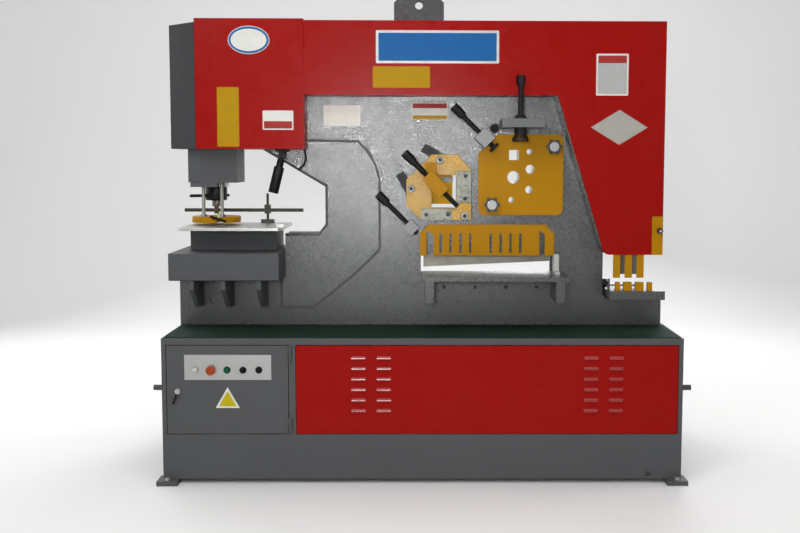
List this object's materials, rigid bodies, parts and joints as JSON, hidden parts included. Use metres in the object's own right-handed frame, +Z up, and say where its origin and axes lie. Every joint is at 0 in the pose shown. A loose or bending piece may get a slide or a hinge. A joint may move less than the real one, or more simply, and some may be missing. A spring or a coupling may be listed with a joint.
{
  "type": "hydraulic ironworker",
  "caption": "Floor-standing hydraulic ironworker with a punch at one end, angle, section and flat bar shears, and a notcher, on a cabinet base.",
  "frame": {"origin": "on the floor, under the middle of the base", "axes": "+X to the right along the machine, +Y away from the operator, +Z up"},
  "size_m": [2.35, 1.05, 2.152],
  "materials": {
    "cabinet_grey": "smooth grey enamel",
    "body_grey": "silver-grey hammered paint",
    "cover_red": "smooth red enamel, slightly glossy",
    "guard_yellow": "yellow enamel",
    "bright_steel": "ground steel",
    "blade_steel": "oiled tool steel",
    "black_steel": "black oxide",
    "machine_grey": "grey enamel, slightly worn",
    "mat_green": "ribbed green mat",
    "plate_silver": "satin plate, bare",
    "red_plastic": "moulded",
    "green_plastic": "moulded",
    "black_plastic": "moulded",
    "clear_lens": "clear lens over white",
    "cable_black": "smooth sheath"
  },
  "bodies": {
    "root": {"base_cabinet": "cabinet_grey", "deck_mat": "mat_green", "hydraulic_panel": "cover_red", "electric_plate": "machine_grey", "oil_tank": "machine_grey", "pump_motor": "machine_grey", "valve_block": "machine_grey", "frame_plate_front": "body_grey", "frame_plate_back": "body_grey", "frame_spacers": "body_grey", "lifting_lug": "body_grey", "ram_guide": "machine_grey", "punch_cylinder": "machine_grey", "bolster": "body_grey", "die_holder": "body_grey", "punch_die": "blade_steel", "punch_table": "bright_steel", "lamp_bracket": "black_steel", "lamp_cable": "cable_black", "pivot_pin": "bright_steel", "fixed_blades": "blade_steel", "shear_cylinder": "machine_grey", "head_cover": "cover_red", "head_end_cover": "cabinet_grey", "beam_cover": "cover_red", "rear_cover": "cover_red", "angle_plate": "guard_yellow", "angle_clamp": "guard_yellow", "section_plate": "guard_yellow", "screw_brackets": "body_grey", "screws": "bright_steel", "flat_guard": "guard_yellow", "shear_table": "body_grey", "notch_table": "body_grey", "notch_guard": "guard_yellow"},
    "door": {"electric_door": "cabinet_grey", "control_plate": "plate_silver", "signal_lamp": "clear_lens"},
    "latch": {"door_latch": "bright_steel"},
    "stop": {"emergency_stop": "red_plastic"},
    "start": {"start_button": "green_plastic"},
    "mode": {"mode_selector": "black_plastic"},
    "stroke": {"stroke_selector": "black_plastic"},
    "ram": {"punch_ram": "bright_steel", "punch_nut": "black_steel", "punch_tool": "blade_steel"},
    "stripper": {"stripper_plate": "guard_yellow"},
    "beam": {"shear_beam": "machine_grey", "moving_blades": "blade_steel"},
    "piston": {"shear_piston": "bright_steel"},
    "lamp": {"work_lamp": "black_steel"},
    "gauge": {"punch_gauge": "bright_steel"},
    "hold_down_section": {"section_screw": "black_steel"},
    "hold_down_corner": {"corner_screw": "black_steel"},
    "hold_down_angle": {"angle_screw": "black_steel"},
    "hold_down_flat": {"flat_screw": "black_steel"},
    "knob_low": {"star_knob_low": "black_plastic"},
    "knob_high": {"star_knob_high": "black_plastic"},
    "knob_side": {"side_knob": "black_plastic"},
    "knob_notch": {"notch_knob": "bright_steel"}
  },
  "joints": [
    {"name": "door_hinge", "type": "hinge", "parent": "root", "child": "door", "pos_m": [-0.571, -0.487, 0.4], "axis": [0, 0, 1], "range_deg": [0, 110]},
    {"name": "latch_turn", "type": "hinge", "parent": "door", "child": "latch", "pos_m": [-1.055, -0.48, 0.407], "axis": [0, -1, 0], "range_deg": [0, 90]},
    {"name": "stop_press", "type": "slide", "parent": "door", "child": "stop", "axis": [0, 1, 0], "range_m": [0, 0.006]},
    {"name": "start_press", "type": "slide", "parent": "door", "child": "start", "axis": [0, 1, 0], "range_m": [0, 0.004], "stiffness_N_per_m": 600},
    {"name": "mode_turn", "type": "hinge", "parent": "door", "child": "mode", "pos_m": [-0.7745, -0.48, 0.499], "axis": [0, -1, 0], "range_deg": [-45, 45]},
    {"name": "stroke_turn", "type": "hinge", "parent": "door", "child": "stroke", "pos_m": [-0.706, -0.48, 0.499], "axis": [0, -1, 0], "range_deg": [-45, 45]},
    {"name": "punch_stroke", "type": "slide", "parent": "root", "child": "ram", "axis": [0, 0, -1], "range_m": [0, 0.06]},
    {"name": "stripper_height", "type": "slide", "parent": "root", "child": "stripper", "axis": [0, 0, 1], "range_m": [-0.008, 0.012]},
    {"name": "beam_swing", "type": "hinge", "parent": "root", "child": "beam", "pos_m": [-0.265, 0, 1.15], "axis": [0, 1, 0], "range_deg": [0, 4]},
    {"name": "piston_slide", "type": "slide", "parent": "root", "child": "piston", "axis": [0, 0, -1], "range_m": [0, 0.082]},
    {"name": "lamp_tilt", "type": "hinge", "parent": "root", "child": "lamp", "pos_m": [-0.637, -0.15, 1.425], "axis": [0, 1, 0], "range_deg": [-40, 40]},
    {"name": "gauge_slide", "type": "slide", "parent": "root", "child": "gauge", "axis": [0, 1, 0], "range_m": [-0.06, 0]},
    {"name": "section_screw_feed", "type": "slide", "parent": "root", "child": "hold_down_section", "axis": [0, 0, -1], "range_m": [0, 0.125]},
    {"name": "corner_screw_feed", "type": "slide", "parent": "root", "child": "hold_down_corner", "axis": [0.7071, 0, -0.7071], "range_m": [-0.02, 0.1]},
    {"name": "angle_screw_feed", "type": "slide", "parent": "root", "child": "hold_down_angle", "axis": [0.7071, 0, -0.7071], "range_m": [-0.06, 0.01]},
    {"name": "flat_screw_feed", "type": "slide", "parent": "root", "child": "hold_down_flat", "axis": [0.7071, 0, -0.7071], "range_m": [-0.02, 0.06]},
    {"name": "knob_low_turn", "type": "hinge", "parent": "root", "child": "knob_low", "pos_m": [0.311, -0.16, 1.198], "axis": [0, 1, 0], "continuous": true},
    {"name": "knob_high_turn", "type": "hinge", "parent": "root", "child": "knob_high", "pos_m": [0.591, -0.16, 1.461], "axis": [0, 1, 0], "continuous": true},
    {"name": "side_knob_turn", "type": "hinge", "parent": "root", "child": "knob_side", "pos_m": [1.058, -0.24, 1.087], "axis": [0, 1, 0], "continuous": true},
    {"name": "notch_knob_turn", "type": "hinge", "parent": "root", "child": "knob_notch", "pos_m": [0.82, -0.195, 0.846], "axis": [1, 0, 0], "continuous": true}
  ],
  "couplings": [
    {"joint": "piston_slide", "follows": "beam_swing", "m_per_rad": 1.16}
  ]
}
